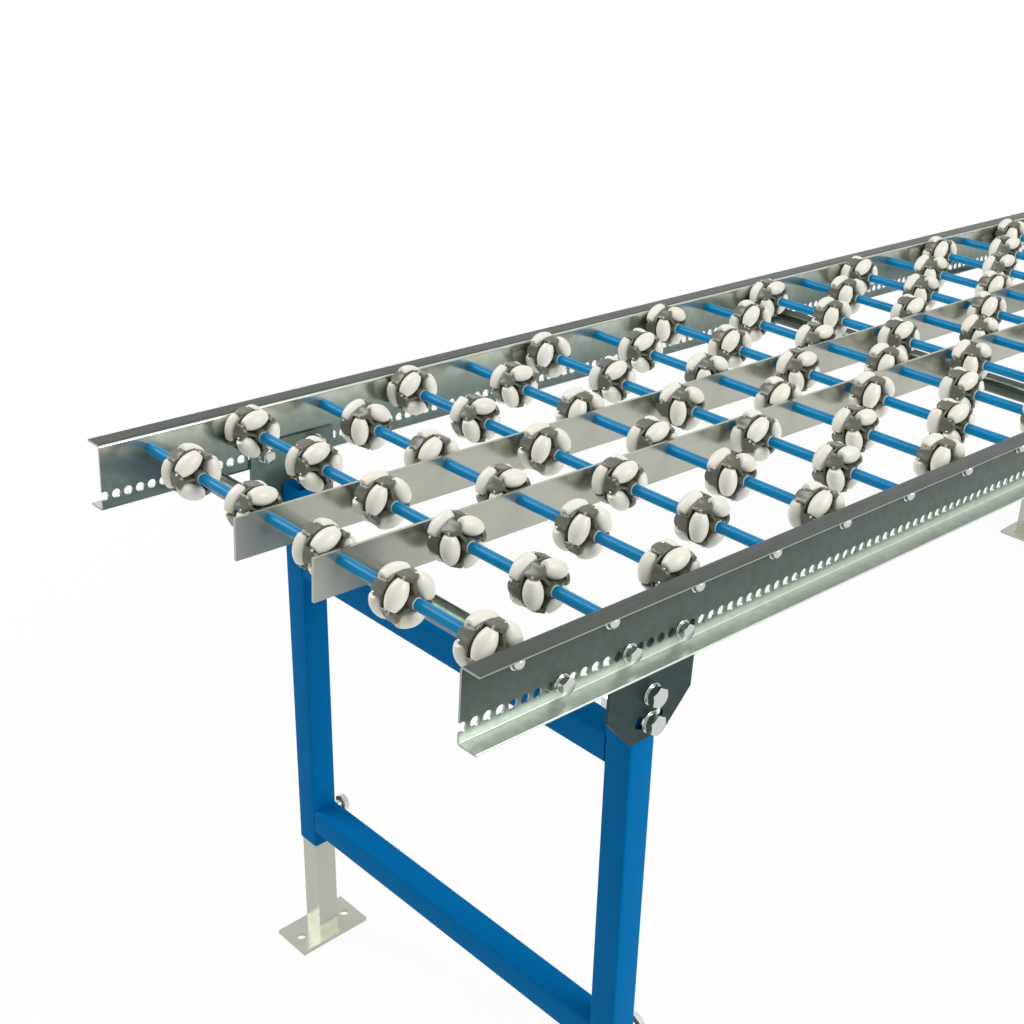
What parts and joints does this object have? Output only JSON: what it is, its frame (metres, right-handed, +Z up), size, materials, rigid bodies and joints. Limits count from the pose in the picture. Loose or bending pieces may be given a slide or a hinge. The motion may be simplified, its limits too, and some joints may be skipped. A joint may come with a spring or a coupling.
{
  "type": "roller conveyor",
  "caption": "Sloping gravity conveyor bed of staggered omni wheels on rod axles between steel rails, on two swinging stands with telescopic legs.",
  "frame": {"origin": "middle of the footprint at floor level", "axes": "+X along the bed towards its low end, +Y across it to the far rail, +Z up"},
  "size_m": [2.0054, 0.539, 0.6794],
  "materials": {
    "galvanised_sheet": "hot-dip galvanised, mottled",
    "galvanised_bar": "galvanised flat bar, streaky",
    "zinc_bolt": "bright zinc plated",
    "dark_plate": "dark grey-green sheet steel",
    "blue_spacer": "glossy blue",
    "blue_powder": "powder coated, smooth",
    "steel_rod": "bright drawn",
    "wheel_hub": "moulded, dark grey",
    "wheel_barrel": "moulded, warm white"
  },
  "bodies": {
    "bed": {"side_rail_near": "galvanised_sheet", "side_rail_far": "galvanised_sheet", "inner_bar_near": "galvanised_bar", "inner_bar_far": "galvanised_bar", "cross_ties": "galvanised_sheet", "cross_tie_bolts": "zinc_bolt", "bracket_bolts": "zinc_bolt", "bracket_plates_front": "dark_plate", "bracket_plates_rear": "dark_plate", "axle_row_1": "steel_rod", "axles_rows_2_to_20": "blue_spacer", "spacer_tubes_row_1": "blue_spacer", "axle_screws_row_1": "zinc_bolt"},
    "front_stand": {"front_uprights": "blue_powder", "front_upper_crossbar": "blue_powder", "front_lower_crossbar": "blue_powder", "front_pivot_bolts": "zinc_bolt", "front_slot_bolts": "zinc_bolt", "front_height_bolts": "zinc_bolt"},
    "rear_stand": {"rear_uprights": "blue_powder", "rear_upper_crossbar": "blue_powder", "rear_lower_crossbar": "blue_powder", "rear_pivot_bolts": "zinc_bolt", "rear_slot_bolts": "zinc_bolt", "rear_height_bolts": "zinc_bolt"},
    "front_leg_near": {"front_leg_near": "galvanised_sheet"},
    "front_leg_far": {"front_leg_far": "galvanised_sheet"},
    "rear_leg_near": {"rear_leg_near": "galvanised_sheet"},
    "rear_leg_far": {"rear_leg_far": "galvanised_sheet"},
    "omni_wheel": {"omni_hub": "wheel_hub", "omni_pins": "steel_rod"},
    "barrel_1": {"omni_barrel_1": "wheel_barrel"},
    "barrel_2": {"omni_barrel_2": "wheel_barrel"},
    "barrel_3": {"omni_barrel_3": "wheel_barrel"},
    "barrel_4": {"omni_barrel_4": "wheel_barrel"},
    "barrel_5": {"omni_barrel_5": "wheel_barrel"},
    "barrel_6": {"omni_barrel_6": "wheel_barrel"},
    "row_1_wheel_1": {"wheel_row_1_1": "wheel_barrel"},
    "row_1_wheel_3": {"wheel_row_1_3": "wheel_barrel"},
    "row_1_wheel_4": {"wheel_row_1_4": "wheel_barrel"},
    "row_1_wheel_5": {"wheel_row_1_5": "wheel_barrel"},
    "row_2_wheels": {"wheels_row_2": "wheel_barrel"},
    "row_3_wheels": {"wheels_row_3": "wheel_barrel"},
    "row_4_wheels": {"wheels_row_4": "wheel_barrel"},
    "row_5_wheels": {"wheels_row_5": "wheel_barrel"},
    "row_6_wheels": {"wheels_row_6": "wheel_barrel"},
    "row_7_wheels": {"wheels_row_7": "wheel_barrel"},
    "row_8_wheels": {"wheels_row_8": "wheel_barrel"},
    "row_9_wheels": {"wheels_row_9": "wheel_barrel"},
    "row_10_wheels": {"wheels_row_10": "wheel_barrel"},
    "row_11_wheels": {"wheels_row_11": "wheel_barrel"},
    "row_12_wheels": {"wheels_row_12": "wheel_barrel"},
    "row_13_wheels": {"wheels_row_13": "wheel_barrel"},
    "row_14_wheels": {"wheels_row_14": "wheel_barrel"},
    "row_15_wheels": {"wheels_row_15": "wheel_barrel"},
    "row_16_wheels": {"wheels_row_16": "wheel_barrel"},
    "row_17_wheels": {"wheels_row_17": "wheel_barrel"},
    "row_18_wheels": {"wheels_row_18": "wheel_barrel"},
    "row_19_wheels": {"wheels_row_19": "wheel_barrel"},
    "row_20_wheels": {"wheels_row_20": "wheel_barrel"}
  },
  "joints": [
    {"name": "front_stand_swing", "type": "hinge", "parent": "bed", "child": "front_stand", "pos_m": [-0.7923, 0, 0.56], "axis": [0, 1, 0], "range_deg": [-23.5, 28.5]},
    {"name": "front_leg_near_slide", "type": "slide", "parent": "front_stand", "child": "front_leg_near", "axis": [0, 0, -1], "range_m": [-0.09, 0.1]},
    {"name": "front_leg_far_slide", "type": "slide", "parent": "front_stand", "child": "front_leg_far", "axis": [0, 0, -1], "range_m": [-0.09, 0.1]},
    {"name": "rear_stand_swing", "type": "hinge", "parent": "bed", "child": "rear_stand", "pos_m": [0.78619, 0, 0.49108], "axis": [0, 1, 0], "range_deg": [-23.5, 28.5]},
    {"name": "rear_leg_near_slide", "type": "slide", "parent": "rear_stand", "child": "rear_leg_near", "axis": [0, 0, -1], "range_m": [-0.0211, 0.1689]},
    {"name": "rear_leg_far_slide", "type": "slide", "parent": "rear_stand", "child": "rear_leg_far", "axis": [0, 0, -1], "range_m": [-0.0211, 0.1689]},
    {"name": "omni_wheel_spin", "type": "hinge", "parent": "bed", "child": "omni_wheel", "pos_m": [-0.94829, -0.1215, 0.65539], "axis": [0, 1, 0], "continuous": true},
    {"name": "row_1_wheel_1_spin", "type": "hinge", "parent": "bed", "child": "row_1_wheel_1", "pos_m": [-0.94829, -0.2215, 0.65539], "axis": [0, 1, 0], "continuous": true},
    {"name": "row_1_wheel_3_spin", "type": "hinge", "parent": "bed", "child": "row_1_wheel_3", "pos_m": [-0.94829, -0.0215, 0.65539], "axis": [0, 1, 0], "continuous": true},
    {"name": "row_1_wheel_4_spin", "type": "hinge", "parent": "bed", "child": "row_1_wheel_4", "pos_m": [-0.94829, 0.0785, 0.65539], "axis": [0, 1, 0], "continuous": true},
    {"name": "row_1_wheel_5_spin", "type": "hinge", "parent": "bed", "child": "row_1_wheel_5", "pos_m": [-0.94829, 0.1785, 0.65539], "axis": [0, 1, 0], "continuous": true},
    {"name": "row_2_spin", "type": "hinge", "parent": "bed", "child": "row_2_wheels", "pos_m": [-0.84838, 0, 0.65103], "axis": [0, 1, 0], "continuous": true},
    {"name": "row_3_spin", "type": "hinge", "parent": "bed", "child": "row_3_wheels", "pos_m": [-0.74848, 0, 0.64667], "axis": [0, 1, 0], "continuous": true},
    {"name": "row_4_spin", "type": "hinge", "parent": "bed", "child": "row_4_wheels", "pos_m": [-0.64857, 0, 0.64231], "axis": [0, 1, 0], "continuous": true},
    {"name": "row_5_spin", "type": "hinge", "parent": "bed", "child": "row_5_wheels", "pos_m": [-0.54867, 0, 0.63795], "axis": [0, 1, 0], "continuous": true},
    {"name": "row_6_spin", "type": "hinge", "parent": "bed", "child": "row_6_wheels", "pos_m": [-0.44877, 0, 0.63358], "axis": [0, 1, 0], "continuous": true},
    {"name": "row_7_spin", "type": "hinge", "parent": "bed", "child": "row_7_wheels", "pos_m": [-0.34886, 0, 0.62922], "axis": [0, 1, 0], "continuous": true},
    {"name": "row_8_spin", "type": "hinge", "parent": "bed", "child": "row_8_wheels", "pos_m": [-0.24896, 0, 0.62486], "axis": [0, 1, 0], "continuous": true},
    {"name": "row_9_spin", "type": "hinge", "parent": "bed", "child": "row_9_wheels", "pos_m": [-0.14905, 0, 0.6205], "axis": [0, 1, 0], "continuous": true},
    {"name": "row_10_spin", "type": "hinge", "parent": "bed", "child": "row_10_wheels", "pos_m": [-0.04915, 0, 0.61614], "axis": [0, 1, 0], "continuous": true},
    {"name": "row_11_spin", "type": "hinge", "parent": "bed", "child": "row_11_wheels", "pos_m": [0.05076, 0, 0.61177], "axis": [0, 1, 0], "continuous": true},
    {"name": "row_12_spin", "type": "hinge", "parent": "bed", "child": "row_12_wheels", "pos_m": [0.15066, 0, 0.60741], "axis": [0, 1, 0], "continuous": true},
    {"name": "row_13_spin", "type": "hinge", "parent": "bed", "child": "row_13_wheels", "pos_m": [0.25057, 0, 0.60305], "axis": [0, 1, 0], "continuous": true},
    {"name": "row_14_spin", "type": "hinge", "parent": "bed", "child": "row_14_wheels", "pos_m": [0.35047, 0, 0.59869], "axis": [0, 1, 0], "continuous": true},
    {"name": "row_15_spin", "type": "hinge", "parent": "bed", "child": "row_15_wheels", "pos_m": [0.45038, 0, 0.59433], "axis": [0, 1, 0], "continuous": true},
    {"name": "row_16_spin", "type": "hinge", "parent": "bed", "child": "row_16_wheels", "pos_m": [0.55028, 0, 0.58997], "axis": [0, 1, 0], "continuous": true},
    {"name": "row_17_spin", "type": "hinge", "parent": "bed", "child": "row_17_wheels", "pos_m": [0.65019, 0, 0.5856], "axis": [0, 1, 0], "continuous": true},
    {"name": "row_18_spin", "type": "hinge", "parent": "bed", "child": "row_18_wheels", "pos_m": [0.75009, 0, 0.58124], "axis": [0, 1, 0], "continuous": true},
    {"name": "row_19_spin", "type": "hinge", "parent": "bed", "child": "row_19_wheels", "pos_m": [0.85, 0, 0.57688], "axis": [0, 1, 0], "continuous": true},
    {"name": "row_20_spin", "type": "hinge", "parent": "bed", "child": "row_20_wheels", "pos_m": [0.9499, 0, 0.57252], "axis": [0, 1, 0], "continuous": true},
    {"name": "barrel_1_spin", "type": "hinge", "parent": "omni_wheel", "child": "barrel_1", "pos_m": [-0.94896, -0.131, 0.64001], "axis": [-0.999, 0, 0.0436], "continuous": true},
    {"name": "barrel_2_spin", "type": "hinge", "parent": "omni_wheel", "child": "barrel_2", "pos_m": [-0.96128, -0.131, 0.66367], "axis": [0.5373, 0, 0.8434], "continuous": true},
    {"name": "barrel_3_spin", "type": "hinge", "parent": "omni_wheel", "child": "barrel_3", "pos_m": [-0.93463, -0.131, 0.66251], "axis": [0.4617, 0, -0.887], "continuous": true},
    {"name": "barrel_4_spin", "type": "hinge", "parent": "omni_wheel", "child": "barrel_4", "pos_m": [-0.96195, -0.112, 0.64828], "axis": [-0.4617, 0, 0.887], "continuous": true},
    {"name": "barrel_5_spin", "type": "hinge", "parent": "omni_wheel", "child": "barrel_5", "pos_m": [-0.94762, -0.112, 0.67078], "axis": [0.999, 0, -0.0436], "continuous": true},
    {"name": "barrel_6_spin", "type": "hinge", "parent": "omni_wheel", "child": "barrel_6", "pos_m": [-0.9353, -0.112, 0.64712], "axis": [-0.5373, 0, -0.8434], "continuous": true}
  ]
}
